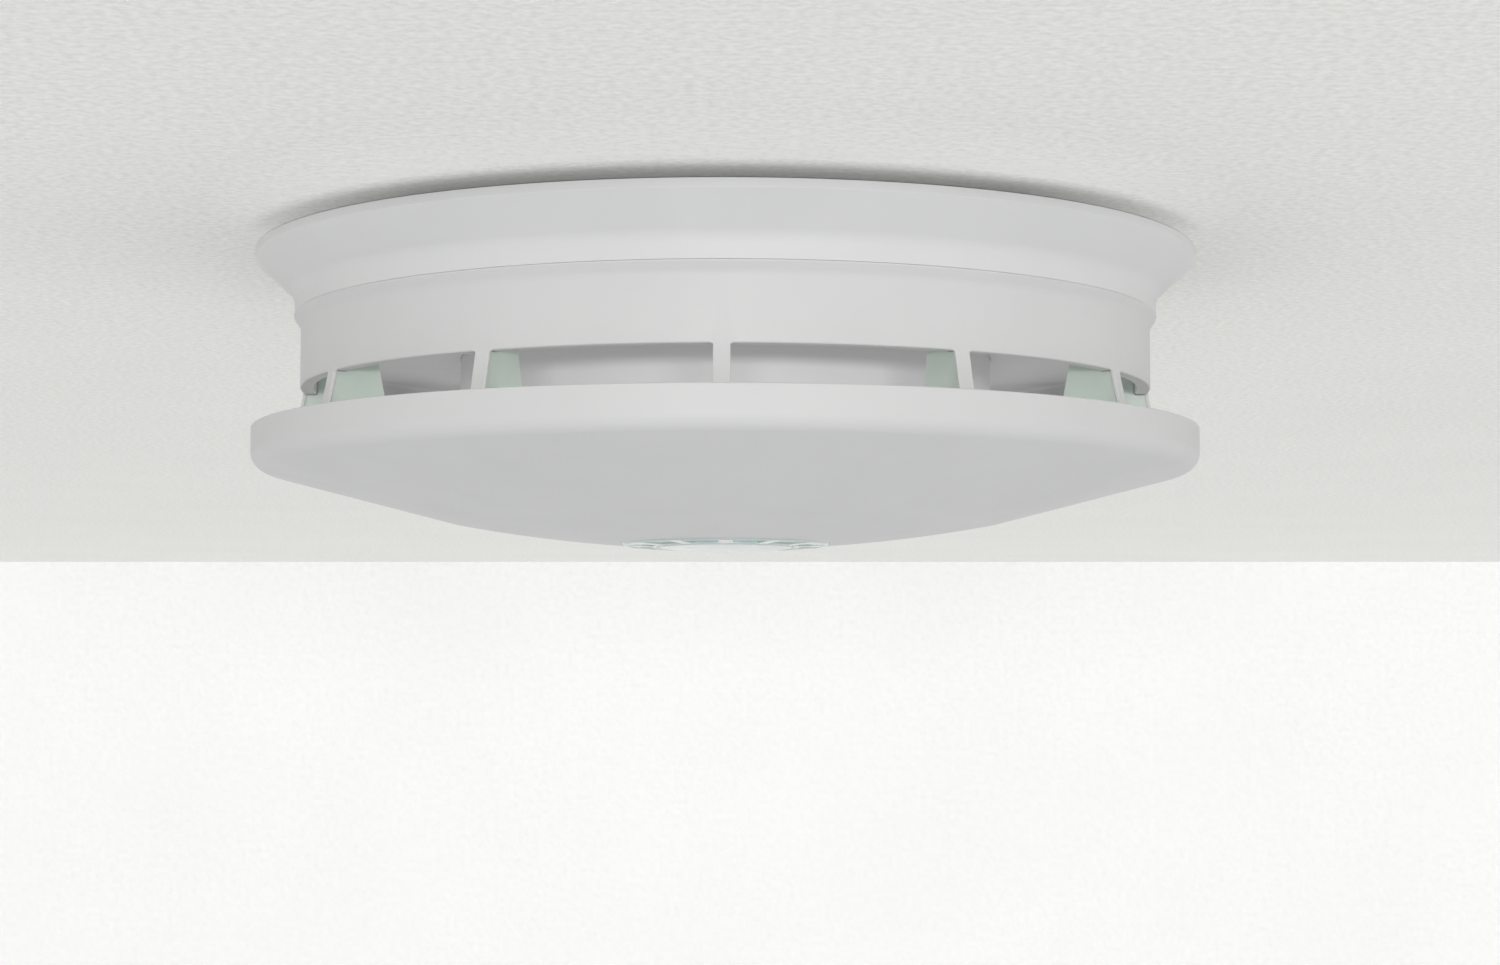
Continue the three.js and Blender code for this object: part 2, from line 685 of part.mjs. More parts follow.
add("sounder_cup", sounderCup(), BLACK, head);
add("piezo_disc", piezoDisc(), BRASS, head);
add("sounder_lid", sounderLid(), BLACK, head);
add("sounder_lead_red", sounderLead(11), RED_WIRE, head);
add("sounder_lead_black", sounderLead(13.2), BLACK, head);

add("slide_switch", slideSwitch(), BLACK, head);
add("activation_slider", activationSlider(), GREY, head);
add("switch_lead", switchLead(), GREY, head);

add("tact_switch", tactSwitch(), BLACK, head);
add("switch_plunger", switchPlunger(), RED_WIRE, head);
add("test_button", testButton(), WHITE, head);
add("button_spring", buttonSpring(), STEEL, head);
add("lens_ring", lensRing(), PALE_GREEN_CLEAR, head);
aroundTurn(4).forEach((angle, i) => add(`lamp_${i + 1}`, lamp(angle), LED_WHITE, head));

COVER_SCREW_ANGLES.forEach((angle, i) => add(`cover_screw_${i + 1}`, coverScrew(angle), STEEL, head));
STACK_SCREW_ANGLES.forEach((angle, i) => add(`stack_screw_${i + 1}`, stackScrew(angle), STEEL, head));

export default alarm;
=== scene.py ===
"""The looks of a round ceiling smoke alarm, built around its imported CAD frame.

Blender works in metres. The outlines below are written in millimetres, as (radius, height) from the
alarm's axis and the ceiling, and the mesh helpers turn them into metres. Angles are in degrees,
anticlockwise from +X seen from above, and the front is -Y. Every ring stands on the Z axis.
"""

from math import asin, cos, pi, radians, sin, sqrt, tan

import bmesh
import bpy
from mathutils import Matrix, Vector


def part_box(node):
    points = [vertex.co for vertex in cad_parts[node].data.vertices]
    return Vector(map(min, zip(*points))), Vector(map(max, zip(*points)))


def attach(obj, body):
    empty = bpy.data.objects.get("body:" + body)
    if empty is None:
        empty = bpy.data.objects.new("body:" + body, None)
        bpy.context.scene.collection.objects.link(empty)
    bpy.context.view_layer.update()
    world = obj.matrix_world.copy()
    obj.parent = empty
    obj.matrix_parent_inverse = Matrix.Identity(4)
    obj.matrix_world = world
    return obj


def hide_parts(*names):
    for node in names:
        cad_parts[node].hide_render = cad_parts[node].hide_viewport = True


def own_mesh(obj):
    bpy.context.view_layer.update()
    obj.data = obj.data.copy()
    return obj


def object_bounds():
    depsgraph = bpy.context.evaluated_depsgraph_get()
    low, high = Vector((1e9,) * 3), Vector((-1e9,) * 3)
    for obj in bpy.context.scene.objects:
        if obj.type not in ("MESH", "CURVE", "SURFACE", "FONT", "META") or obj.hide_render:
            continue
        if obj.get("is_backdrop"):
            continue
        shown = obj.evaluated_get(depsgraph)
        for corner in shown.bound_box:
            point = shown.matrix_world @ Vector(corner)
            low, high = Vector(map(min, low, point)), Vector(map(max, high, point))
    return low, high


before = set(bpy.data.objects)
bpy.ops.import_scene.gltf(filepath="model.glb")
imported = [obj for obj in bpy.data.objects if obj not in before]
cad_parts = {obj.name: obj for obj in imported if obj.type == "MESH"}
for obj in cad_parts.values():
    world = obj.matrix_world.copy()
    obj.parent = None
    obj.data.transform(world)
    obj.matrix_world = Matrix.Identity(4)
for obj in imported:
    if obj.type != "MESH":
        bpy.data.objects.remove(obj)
cad_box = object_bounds()

MM = 0.001
RIB_COUNT = 12
# Faces that meet at more degrees than this have a sharp edge between them.
SHARP_ANGLE = 34


def levels(node):
    """A CAD node's outer radius, highest and lowest level, in millimetres."""
    low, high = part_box(node)
    return high.x / MM, high.z / MM, low.z / MM


# Shared with the CAD: where the shells begin and end.
LIP_R, CEILING_Z, BASE_Z = levels("mounting_base")
RIB_R = levels("casing")[0]
DISC_R, RIM_Z, _ = levels("front_cover")
FLOOR_R, FLOOR_Z, FLOOR_UNDER_Z = levels("inlet_floor")
FLANGE_R, FLANGE_Z, SHROUD_Z = levels("inlet_shroud")
COLLAR_R, LENS_TOP_Z, LENS_Z = levels("lens_ring")
BUTTON_FLANGE_R, BUTTON_TOP_Z, BUTTON_Z = levels("test_button")
BOARD_UNDER_Z = levels("main_board")[2]

# The shells' own radii and levels.
BAND_R = 59.3
LIP_Z = -1.16
FLARE_Z = -6.15
DRUM_R = 58.45
HUB_R = FLANGE_R - 2.9
LENS_R = COLLAR_R - 1.4
BUTTON_R = BUTTON_FLANGE_R - 0.9
CASING_TOP_Z = BASE_Z - 0.03
CASING_Z = -18.85
DECK_Z = -12.6
DECK_UNDER_Z = DECK_Z - 1.6
WALL = 1.8
# The gap left where two pieces of the head touch.
FIT = 0.06

# The base's keyholes, the bayonet's lugs on the head and hooks on the base, and the screws.
KEYHOLE_X = [-30, 30]
LUG_ANGLES = [30, 150, 270]
LUG_ARC = 14
LUG_Z = -4.8
HOOK_WALL_R = 52.6
HOOK_R = 49.4
BOSS_BORE_R = 1.4
COVER_SCREW_R = 51.5
COVER_SCREW_ANGLES = [0, 90, 180, 255]
STACK_SCREW_R = 32
STACK_SCREW_ANGLES = [-15, 45, 135, 195]

# The disc's underside is a cone that runs into a shallow spherical cap.
CONE_ANGLE = radians(14.65)
CAP_R = 38.5
CAP_SPHERE_R = 210
CAP_Z = -40.0


# ------------------------------------------------------------------ meshes


def polar(r, degrees, z=0.0):
    return Vector((r * cos(radians(degrees)), r * sin(radians(degrees)), z)) * MM


def angles(count, start=0.0):
    return [start + i * 360 / count for i in range(count)]


def rounded(corners, steps=6):
    """The points of an outline of (r, z) or (r, z, fillet radius) corners, with each fillet as an arc."""
    points = []
    for i, (r, z, *rest) in enumerate(corners):
        if not rest:
            points.append((r, z))
            continue
        fillet = rest[0]
        here = Vector((r, z))
        before = (Vector(corners[i - 1][:2]) - here).normalized()
        after = (Vector(corners[(i + 1) % len(corners)][:2]) - here).normalized()
        half = before.angle(after) / 2
        centre = here + (before + after).normalized() * fillet / sin(half)
        first = here + before * fillet / tan(half) - centre
        last = here + after * fillet / tan(half) - centre
        sweep = pi - 2 * half
        for step in range(steps + 1):
            turned = sweep * step / steps
            arm = (first * sin(sweep - turned) + last * sin(turned)) / sin(sweep)
            points.append(tuple(centre + arm))
    return points


def placed(name, data):
    """An object in the scene for a mesh, a light or a camera."""
    obj = bpy.data.objects.new(name, data)
    bpy.context.collection.objects.link(obj)
    return obj


def to_object(name, bm):
    mesh = bpy.data.meshes.new(name)
    bm.to_mesh(mesh)
    bm.free()
    return placed(name, mesh)


def solid(name, bm):
    bmesh.ops.recalc_face_normals(bm, faces=bm.faces)
    return to_object(name, bm)


def revolve(name, outline, segments=192, at=(0, 0)):
    """A closed solid of revolution about a vertical axis, from an outline of (r, z) points."""
    bm = bmesh.new()
    middle = Vector((*at, 0)) * MM
    rings = []
    for r, z in outline:
        around = angles(segments) if r > 1e-6 else [0]
        rings.append([bm.verts.new(polar(r, a, z) + middle) for a in around])
    for ring, following in zip(rings, rings[1:] + rings[:1]):
        if len(ring) == len(following) == 1:
            continue
        for i in range(segments):
            j = i + 1
            corners = [ring[i % len(ring)], ring[j % len(ring)]]
            corners += [following[j % len(following)], following[i % len(following)]]
            bm.faces.new(list(dict.fromkeys(corners)))
    return solid(name, bm)


def slab(name, first, second):
    """A closed solid between two matching outlines of 3-D points, in millimetres."""
    bm = bmesh.new()
    sides = [[bm.verts.new(Vector(point) * MM) for point in side] for side in (first, second)]
    bm.faces.new(sides[0])
    bm.faces.new(sides[1])
    for i in range(len(first)):
        j = (i + 1) % len(first)
        bm.faces.new([sides[0][i], sides[0][j], sides[1][j], sides[1][i]])
    return solid(name, bm)


def prism(name, outline, low, high):
    """A plan outline of (x, y) points pulled up between two levels."""
    return slab(name, [(x, y, low) for x, y in outline], [(x, y, high) for x, y in outline])


def circle(r, x=0.0, y=0.0, count=40):
    return [(x + r * cos(radians(a)), y + r * sin(radians(a))) for a in angles(count)]


def bar(x, y, width, depth, low, high):
    """A block by its middle in plan, its plan size and its levels."""
    left, right = x - width / 2, x + width / 2
    front, rear = y - depth / 2, y + depth / 2
    return prism("bar", [(left, front), (right, front), (right, rear), (left, rear)], low, high)


def sector(inner, outer, start, end, low, high):
    """A piece of a ring between two radii, two angles and two levels."""
    steps = max(2, round((end - start) / 2))
    turn = [radians(start + (end - start) * i / steps) for i in range(steps + 1)]
    outline = [(outer * cos(a), outer * sin(a)) for a in turn]
    outline += [(inner * cos(a), inner * sin(a)) for a in reversed(turn)]
    return prism("sector", outline, low, high)


def blade(outline, thickness):
    """A flat plate standing on the X axis: an outline of (x, z) with a thickness across it."""
    half = thickness / 2
    return slab("blade", [(x, -half, z) for x, z in outline], [(x, half, z) for x, z in outline])


def turned(obj, angle):
    obj.data.transform(Matrix.Rotation(radians(angle), 4, "Z"))
    return obj


def settle(obj):
    """Makes the object's modifiers part of its mesh."""
    bpy.context.view_layer.update()
    evaluated = obj.evaluated_get(bpy.context.evaluated_depsgraph_get())
    mesh = bpy.data.meshes.new_from_object(evaluated)
    obj.modifiers.clear()
    obj.data = mesh


def mend(obj):
    """Closes the pinholes and drops the slivers that exact joins and cuts can leave."""
    reach = 0.001 * MM
    bm = bmesh.new()
    bm.from_mesh(obj.data)
    bmesh.ops.remove_doubles(bm, verts=bm.verts, dist=reach)
    bmesh.ops.dissolve_degenerate(bm, edges=bm.edges, dist=reach)
    stray = [face for face in bm.faces if all(edge.is_boundary for edge in face.edges)]
    bmesh.ops.delete(bm, geom=stray, context="FACES")
    bmesh.ops.holes_fill(bm, edges=[edge for edge in bm.edges if edge.is_boundary])
    bm.to_mesh(obj.data)
    bm.free()


def combine(operation, obj, others):
    """Joins the others to obj or cuts them from it, one after another."""
    for other in others:
        settle(other)
        modifier = obj.modifiers.new("boolean", "BOOLEAN")
        modifier.operation = operation
        modifier.solver = "EXACT"
        modifier.object = other
        settle(obj)
        bpy.data.objects.remove(other)
    return obj


def join(obj, others):
    return combine("UNION", obj, others)


def cut(obj, others):
    return combine("DIFFERENCE", obj, others)


def soften(obj, width):
    """Rounds the edges of a piece by a width in millimetres."""
    modifier = obj.modifiers.new("rounded edges", "BEVEL")
    modifier.width = width * MM
    modifier.segments = 3
    modifier.limit_method = "ANGLE"
    modifier.angle_limit = radians(SHARP_ANGLE)
    return obj


def finished(obj, body, material, slot, *nodes):
    """Smooths a piece's faces up to its sharp edges, gives it a material and puts it on its body."""
    mend(obj)
    obj.data.shade_smooth()
    obj.data.set_sharp_from_angle(angle=radians(SHARP_ANGLE))
    obj.modifiers.new("even normals", "WEIGHTED_NORMAL").keep_sharp = True
    obj.data.materials.clear()
    obj.data.materials.append(material)
    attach(obj, body)
    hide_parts(*nodes)
    return obj


# ------------------------------------------------------------------ material nodes


class Shader:
    """A material's node tree round one Principled shader, with short ways to add nodes to it."""

    def __init__(self, name):
        self.material = bpy.data.materials.new(name)
        self.material.use_nodes = True
        self.tree = self.material.node_tree
        self.surface = self.tree.nodes["Principled BSDF"]
        self.place = self.node("ShaderNodeTexCoord").outputs["Object"]

    def node(self, kind, inputs=None, **settings):
        made = self.tree.nodes.new(kind)
        for key, value in settings.items():
            setattr(made, key, value)
        for key, value in (inputs or {}).items():
            self.feed(made.inputs[key], value)
        return made

    def feed(self, socket, value):
        if isinstance(value, bpy.types.NodeSocket):
            self.tree.links.new(value, socket)
        else:
            socket.default_value = value

    def set(self, **inputs):
        for key, value in inputs.items():
            self.feed(self.surface.inputs[key.replace("_", " ")], value)

    def stretched(self, x, y, z):
        """The place on the object with its axes scaled, for a grain that runs one way."""
        return self.node("ShaderNodeMapping", {"Vector": self.place, "Scale": (x, y, z)}).outputs[0]

    def noise(self, grain, detail=2.0, place=None):
        """Noise from 0 to 1 whose spots are about grain millimetres across."""
        inputs = {"Vector": place or self.place, "Scale": 1 / (grain * MM), "Detail": detail}
        return self.node("ShaderNodeTexNoise", inputs).outputs["Fac"]

    def fit(self, value, low, high, bottom=0.3, top=0.7):
        """A value moved from the range bottom to top onto low to high, and held inside it."""
        inputs = {"Value": value, "From Min": bottom, "From Max": top, "To Min": low, "To Max": high}
        return self.node("ShaderNodeMapRange", inputs).outputs["Result"]

    def maths(self, operation, *values):
        made = self.node("ShaderNodeMath", operation=operation)
        for socket, value in zip(made.inputs, values):
            self.feed(socket, value)
        return made.outputs[0]

    def part(self, vector, axis):
        return self.node("ShaderNodeSeparateXYZ", {"Vector": vector}).outputs[axis]

    def blend(self, share, a, b):
        made = self.node("ShaderNodeMix", data_type="RGBA")
        self.feed(made.inputs["Factor"], share)
        for socket, value in ((made.inputs[6], a), (made.inputs[7], b)):
            self.feed(socket, value if isinstance(value, bpy.types.NodeSocket) else (*value, 1.0))
        return made.outputs[2]

    def bump(self, height, depth, under=None):
        """A surface that rises by depth millimetres where height is 1."""
        inputs = {"Height": height, "Distance": depth * MM, "Strength": 1.0}
        if under:
            inputs["Normal"] = under
        return self.node("ShaderNodeBump", inputs).outputs["Normal"]


def shade(base, by):
    return tuple(channel * by for channel in base)


def moulded(name, base, roughness, grain=0.35, depth=0.004, dust=0.0, glow=0.0):
    """Moulded plastic: a fine eroded grain, cloudy tone, edges paler for wear and a painted highlight,
    smears and settled dust.
    """
    wear_and_highlight = 0.05
    s = Shader(name)
    geometry = s.node("ShaderNodeNewGeometry")
    tone = s.blend(s.fit(s.noise(24, 3), 0, 1), shade(base, 0.985), shade(base, 1.015))
    # Sharp edges are painted paler, partly as wear and partly as a painted highlight.
    worn_and_highlit = s.fit(geometry.outputs["Pointiness"], 0, wear_and_highlight, 0.5, 0.6)
    tone = s.blend(worn_and_highlit, tone, WORN_AND_HIGHLIT)
    if dust:
        upward = s.fit(s.part(geometry.outputs["Normal"], "Z"), 0, dust, 0.35, 0.95)
        tone = s.blend(s.maths("MULTIPLY", upward, s.fit(s.noise(3.5, 6), 0.35, 1)), tone, DUST)
    fine = s.noise(grain, 2)
    smear = s.fit(s.noise(9, 4), -0.05, 0.05)
    rough = s.maths("ADD", s.fit(fine, roughness - 0.04, roughness + 0.04), smear)
    s.set(Base_Color=tone, Roughness=rough, Normal=s.bump(fine, depth), Specular_IOR_Level=0.45)
    if glow:
        s.set(Subsurface_Weight=glow, Subsurface_Scale=MM, Subsurface_Radius=(1.0, 0.95, 0.9))
    return s.material


def tinted(name, base, clearness, roughness, rib_highlight_tone=None):
    """Tinted see-through plastic: flow lines in a softly scattering body, and ribs painted paler as a
    highlight if asked for.
    """
    s = Shader(name)
    swirl = s.fit(s.noise(6, 4, s.stretched(1, 1, 0.25)), 0, 1)
    fine = s.noise(0.5, 2)
    tone = s.blend(swirl, shade(base, 0.97), shade(base, 1.03))
    if rib_highlight_tone:
        # The ribs are painted paler by their angle round the axis, a painted highlight for the light they
        # catch.
        x, y = (s.part(s.place, axis) for axis in "XY")
        turn = s.maths("MULTIPLY", s.maths("ARCTAN2", y, x), RIB_COUNT / (2 * pi))
        tone = s.blend(s.fit(s.maths("PINGPONG", turn, 0.5), 1, 0, 0.06, 0.2), tone, rib_highlight_tone)
    s.set(Base_Color=tone, IOR=1.49)
    s.set(Roughness=s.fit(fine, roughness - 0.03, roughness + 0.05), Normal=s.bump(fine, 0.001))
    s.set(Transmission_Weight=clearness, Subsurface_Weight=0.4)
    s.set(Subsurface_Scale=2 * MM, Subsurface_Radius=(0.8, 1.0, 0.85))
    return s.material


def metal(name, base, roughness, stretch=(1, 1, 1)):
    """Plated or rolled metal: a drawn grain and faint stains."""
    s = Shader(name)
    drawn = s.noise(0.6, 3, s.stretched(*stretch))
    stain = s.fit(s.noise(5, 4), 0, 1, 0.35, 0.75)
    s.set(Base_Color=s.blend(stain, base, shade(base, 0.8)), Metallic=1.0)
    s.set(Roughness=s.fit(drawn, roughness - 0.08, roughness + 0.12), Normal=s.bump(drawn, 0.006))
    return s.material


# ------------------------------------------------------------------ materials

WHITE = (0.66, 0.66, 0.66)
DUST = (0.42, 0.40, 0.37)
# The paler colour of sharp edges, partly wear and partly a painted highlight.
WORN_AND_HIGHLIT = (0.9, 0.9, 0.9)

white_plastic = moulded("white plastic", WHITE, 0.52, dust=0.2, glow=0.08)
# The base's white is painted lighter than the other white parts, standing in for light that its flare
# lacks.
base_plastic_painted_lighter = moulded("base plastic painted lighter", shade(WHITE, 1.07), 0.52, dust=0.2, glow=0.08)
# The disc's white is painted darker than the other white parts, as painted shade on its lit rim.
cover_plastic_painted_darker = moulded("cover plastic painted darker", shade(WHITE, 0.955), 0.52, dust=0.2, glow=0.08)
# The hub's white is painted lighter than the other white parts, as painted light against the shade in the
# inlet.
shroud_plastic_painted_lighter = moulded("shroud plastic painted lighter", shade(WHITE, 1.1), 0.55, dust=0.2)
gloss_plastic = moulded("gloss white plastic", (0.55, 0.60, 0.59), 0.18, 0.8, 0.0005, glow=0.1)
black_plastic = moulded("black plastic", (0.022, 0.022, 0.024), 0.55, 0.25, 0.008)
grey_plastic = moulded("grey plastic", (0.16, 0.165, 0.175), 0.5, 0.4, 0.006)
red_plastic = moulded("red plastic", (0.5, 0.035, 0.025), 0.4, 0.5, 0.003)
lamp_plastic = moulded("lamp plastic", (0.85, 0.82, 0.62), 0.25, 0.6, 0.002)
vane_plastic = tinted("vane plastic", (0.67, 0.755, 0.69), 0.15, 0.35)
# The lens's ribs get a painted highlight: a paler tone between the windows.
lens_plastic = tinted("lens plastic", (0.54, 0.63, 0.615), 0.1, 0.14, rib_highlight_tone=(0.6, 0.64, 0.63))
steel = metal("plated steel", (0.62, 0.63, 0.65), 0.3)
brass = metal("brass", (0.80, 0.58, 0.24), 0.3, stretch=(1, 12, 1))
can_metal = metal("drawn can", (0.66, 0.67, 0.70), 0.25, stretch=(1, 1, 14))
board_lacquer = moulded("board lacquer", (0.012, 0.10, 0.035), 0.3, 1.2, 0.01)
battery_wrap = moulded("battery wrap", (0.03, 0.09, 0.22), 0.25, 2.5, 0.006)

# ------------------------------------------------------------------ the base on the ceiling


def keyhole(x, grow=0.0):
    """A keyhole's outline round the point (x, 0): the wide end at the front, the narrow end behind."""
    head_r, shank_r, half_length = 4.4 + grow, 2.2 + grow, 6
    head_steps, shank_steps = 24, 12
    meet = asin(shank_r / head_r)
    points = []
    for i in range(head_steps + 1):
        a = pi / 2 + meet + (2 * pi - 2 * meet) * i / head_steps
        points.append((x + head_r * cos(a), -half_length + head_r * sin(a)))
    for i in range(shank_steps + 1):
        a = pi * i / shank_steps
        points.append((x + shank_r * cos(a), half_length + shank_r * sin(a)))
    return points


def mounting_base():
    plate_z, sunk_z = -2.2, -0.9
    middle_r, rim_r, step = 9, LIP_R - 5, 0.2
    inner_r = BAND_R - WALL - 0.1
    shell = revolve(
        "mounting_base_shell",
        rounded(
            [
                (0, CEILING_Z),
                (middle_r, CEILING_Z, 0.15),
                (middle_r + step, sunk_z, 0.15),
                (rim_r, sunk_z, 0.15),
                (rim_r + step, CEILING_Z, 0.15),
                (LIP_R, CEILING_Z, 0.08),
                (LIP_R, LIP_Z, 0.22),
                (BAND_R, FLARE_Z, 3),
                (BAND_R, BASE_Z, 0.05),
                (inner_r, BASE_Z, 0.12),
                (inner_r, FLARE_Z + 0.55, 0.5),
                (LIP_R - 3.6, plate_z, 0.3),
                (0, plate_z),
            ]
        ),
    )
    shell = join(shell, back_ribs(sunk_z - 0.3) + hooks(plate_z + 0.2))
    holes = [prism("hole", keyhole(x), plate_z - 1, 1) for x in KEYHOLE_X]
    # The slider's socket, through the sunk plate.
    holes.append(bar(0, -14, 2.6, 3, plate_z - 1, -0.8))
    shell = cut(shell, holes)
    finished(shell, "ceiling_base", base_plastic_painted_lighter, "white_plastic", "mounting_base")


def back_ribs(foot_z):
    """Spokes and a ring that stiffen the sunk back, and a pad round each keyhole."""
    width, edge, rib_z, pad_z = 1.3, 0.12, CEILING_Z - 0.04, CEILING_Z - 0.02
    spoke_middle, spoke_length = 34.5, 51.5
    ring_r = 45
    outer_r = ring_r + width
    ribs = [
        turned(soften(bar(spoke_middle, 0, spoke_length, width, foot_z, rib_z), edge), angle)
        for angle in angles(8, 22.5)
    ]
    ring = [(ring_r, foot_z), (outer_r, foot_z), (outer_r, rib_z, edge), (ring_r, rib_z, edge)]
    ribs.append(revolve("ring", rounded(ring)))
    pads = [soften(prism("pad", keyhole(x, 2.4), foot_z, pad_z), edge) for x in KEYHOLE_X]
    return ribs + pads


def hooks(top_z):
    """Each hook is a wall, a ledge that a lug rests over, and a stop that the lug turns against."""
    # The three run into each other by small steps, so that no two faces share a plane.
    step = 0.05
    ledge_top_z, ledge_z = LUG_Z - 0.3, LUG_Z - 1.5
    wall_outer_r, ledge_outer_r, stop_outer_r = (HOOK_WALL_R + past for past in (1.6, 0.23, 0.31))
    solids = []
    for angle in LUG_ANGLES:
        start, lug_end = angle - 0.5, angle + LUG_ARC + 0.35
        end = lug_end + 2.5
        wall_ends = (start - 2 * step, end + 2 * step)
        solids.append(sector(HOOK_WALL_R, wall_outer_r, *wall_ends, ledge_z - step, top_z))
        solids.append(sector(HOOK_R, ledge_outer_r, start, end, ledge_z, ledge_top_z))
        stop_ends = (lug_end, end - 2 * step)
        solids.append(sector(HOOK_R + step, stop_outer_r, *stop_ends, ledge_top_z - 0.2, top_z + step))
    return solids


# ------------------------------------------------------------------ the head's shells


def casing():
    inner_r = DRUM_R - WALL
    shell = revolve(
        "casing_shell",
        rounded(
            [
                (BAND_R + 0.07, CASING_TOP_Z, 0.06),
                (BAND_R + 0.05, CASING_TOP_Z - 0.2, 0.15),
                (DRUM_R, CASING_TOP_Z - 1.5, 1.6),
                (DRUM_R, CASING_Z, 0.25),
                (inner_r, CASING_Z, 0.25),
                (inner_r, DECK_UNDER_Z, 0.6),
                (HUB_R + FIT, DECK_UNDER_Z, 0.05),
                (HUB_R + FIT, DECK_Z, 0.05),
                (inner_r, DECK_Z, 0.5),
                (inner_r, CASING_TOP_Z, 0.3),
            ]
        ),
    )
    ribs = [turned(casing_rib(), angle) for angle in angles(RIB_COUNT)]
    screws = screw_places(COVER_SCREW_R, COVER_SCREW_ANGLES)
    shell = join(shell, ribs + [boss(at, 2.7, DECK_Z - 0.1, DECK_Z - 0.1, -8.5) for at in screws])
    port_angles = [62, 71, 80, 96, 105, 114]
    sound_ports = [sector(42, 49, a, a + 4, DECK_UNDER_Z - 1, DECK_Z + 1) for a in port_angles]
    well_r = BOSS_BORE_R - 0.1
    wells = [prism("well", circle(well_r, *at), DECK_UNDER_Z + 0.4, DECK_Z + 0.05) for at in screws]
    shell = cut(shell, sound_ports + wells)
    finished(shell, "head", white_plastic, "white_plastic", "casing")


def casing_rib():
    """A thin post that leans out from the wall to the disc, wider where it leaves the wall."""
    half, foot_z, thickness = 1.05, RIM_Z + 0.15, 0.45
    # The post's face leaves the wall where the wall's own rounded lower edge begins.
    leave_r, leave_z = DRUM_R + 0.01, CASING_Z + 0.25
    lean = (RIB_R - leave_r) / (foot_z - leave_z)
    root, root_z = half + 0.35, CASING_Z - 0.02
    side = rounded([(root, leave_z + 0.4), (root, root_z), (half, root_z, 0.25), (half, foot_z)])
    outline = side + [(-y, z) for y, z in reversed(side)]
    front = [(leave_r + (z - leave_z) * lean, y, z) for y, z in outline]
    back = [(x - thickness, y, z) for x, y, z in front]
    return soften(slab("rib", front, back), 0.16)


def screw_places(r, around):
    return [(r * cos(radians(a)), r * sin(radians(a))) for a in around]


def boss(at, r, bore_foot_z, foot_z, top_z):
    """A hollow screw post, whose foot may slope from its bore to its outside."""
    outline = [(BOSS_BORE_R, bore_foot_z), (r, foot_z), (r, top_z, 0.3), (BOSS_BORE_R, top_z, 0.2)]
    return revolve("boss", rounded(outline), 32, at)


def vane_ring():
    ring_inner_r, ring_outer_r = 50.2, 57.4
    ring_z, ring_top_z = FLOOR_Z + 0.15, FLOOR_Z + 0.8
    ring = revolve(
        "vane_ring_shell",
        rounded(
            [
                (ring_inner_r, ring_z, 0.15),
                (ring_outer_r, ring_z, 0.15),
                (ring_outer_r, ring_top_z, 0.2),
                (ring_inner_r, ring_top_z, 0.2),
            ]
        ),
    )
    # A vane stands in the ring and rises inside the casing's wall, with its outer edge along the posts.
    foot_z, step_z, wall_z = FLOOR_Z + 0.4, RIM_Z + 0.1, CASING_Z - FIT
    foot_outer_r, wall_inner_r = 57.05, DRUM_R - WALL - FIT
    top_z = DECK_UNDER_Z - 2.3
    outline = rounded(
        [
            (50.75, foot_z),
            (foot_outer_r, foot_z),
            (foot_outer_r, step_z),
            (DRUM_R + 0.55, step_z, 0.2),
            (DRUM_R - 0.25, wall_z, 0.1),
            (wall_inner_r, wall_z, 0.26),
            (wall_inner_r, top_z, 0.5),
            (52.5, top_z, 0.5),
        ]
    )
    vanes = [turned(soften(blade(outline, 1.9), 0.18), angle) for angle in angles(RIB_COUNT)]
    finished(join(ring, vanes), "head", vane_plastic, "pale_green_clear_plastic", "vane_ring")


def cap_z(r, rise=0.0):
    """The height of the disc's middle, a shallow part of a sphere, at a radius."""
    return CAP_Z + rise + CAP_SPHERE_R - sqrt(CAP_SPHERE_R**2 - r**2)


def front_cover():
    """The disc: its rim, cone and middle cap, a hole for the lens and a ledge under the inlet floor."""
    hole_r = LENS_R + FIT
    inner_r = DISC_R - WALL
    ledge_r = inner_r - 1.4
    ledge_z = FLOOR_Z - 1.7
    slope = tan(CONE_ANGLE)
    steps = 12
    cap_steps = [CAP_R + (hole_r - CAP_R) * i / steps for i in range(steps + 1)]
    outside = [(DISC_R, cap_z(CAP_R) + (DISC_R - CAP_R) * slope, 2.4)]
    outside += [(r, cap_z(r)) for r in cap_steps[:-1]]
    outside.append((hole_r, cap_z(hole_r), 0.06))
    inside = [(r, cap_z(r, WALL)) for r in reversed(cap_steps)]
    inside.append((ledge_r, cap_z(CAP_R, WALL) + (ledge_r - CAP_R) * slope))
    corners = [(inner_r, RIM_Z, 0.25), (DISC_R, RIM_Z, 0.2), *outside, *inside]
    corners += [(ledge_r, ledge_z, 0.3), (inner_r, ledge_z, 0.2)]
    shell = revolve("front_cover_shell", rounded(corners, 10))
    bosses = [
        boss(at, 2.8, -34.5, -36.5, BOARD_UNDER_Z - 0.15)
        for at in screw_places(STACK_SCREW_R, STACK_SCREW_ANGLES)
    ]
    finished(join(shell, bosses), "head", cover_plastic_painted_darker, "white_plastic", "front_cover")


def inlet_floor():
    outline = [
        (HUB_R + FIT, FLOOR_UNDER_Z),
        (FLOOR_R, FLOOR_UNDER_Z),
        (FLOOR_R, FLOOR_Z, 0.25),
        (HUB_R + FIT, FLOOR_Z, 0.05),
    ]
    plate = revolve("inlet_floor_plate", rounded(outline))
    finished(plate, "head", white_plastic, "white_plastic", "inlet_floor")


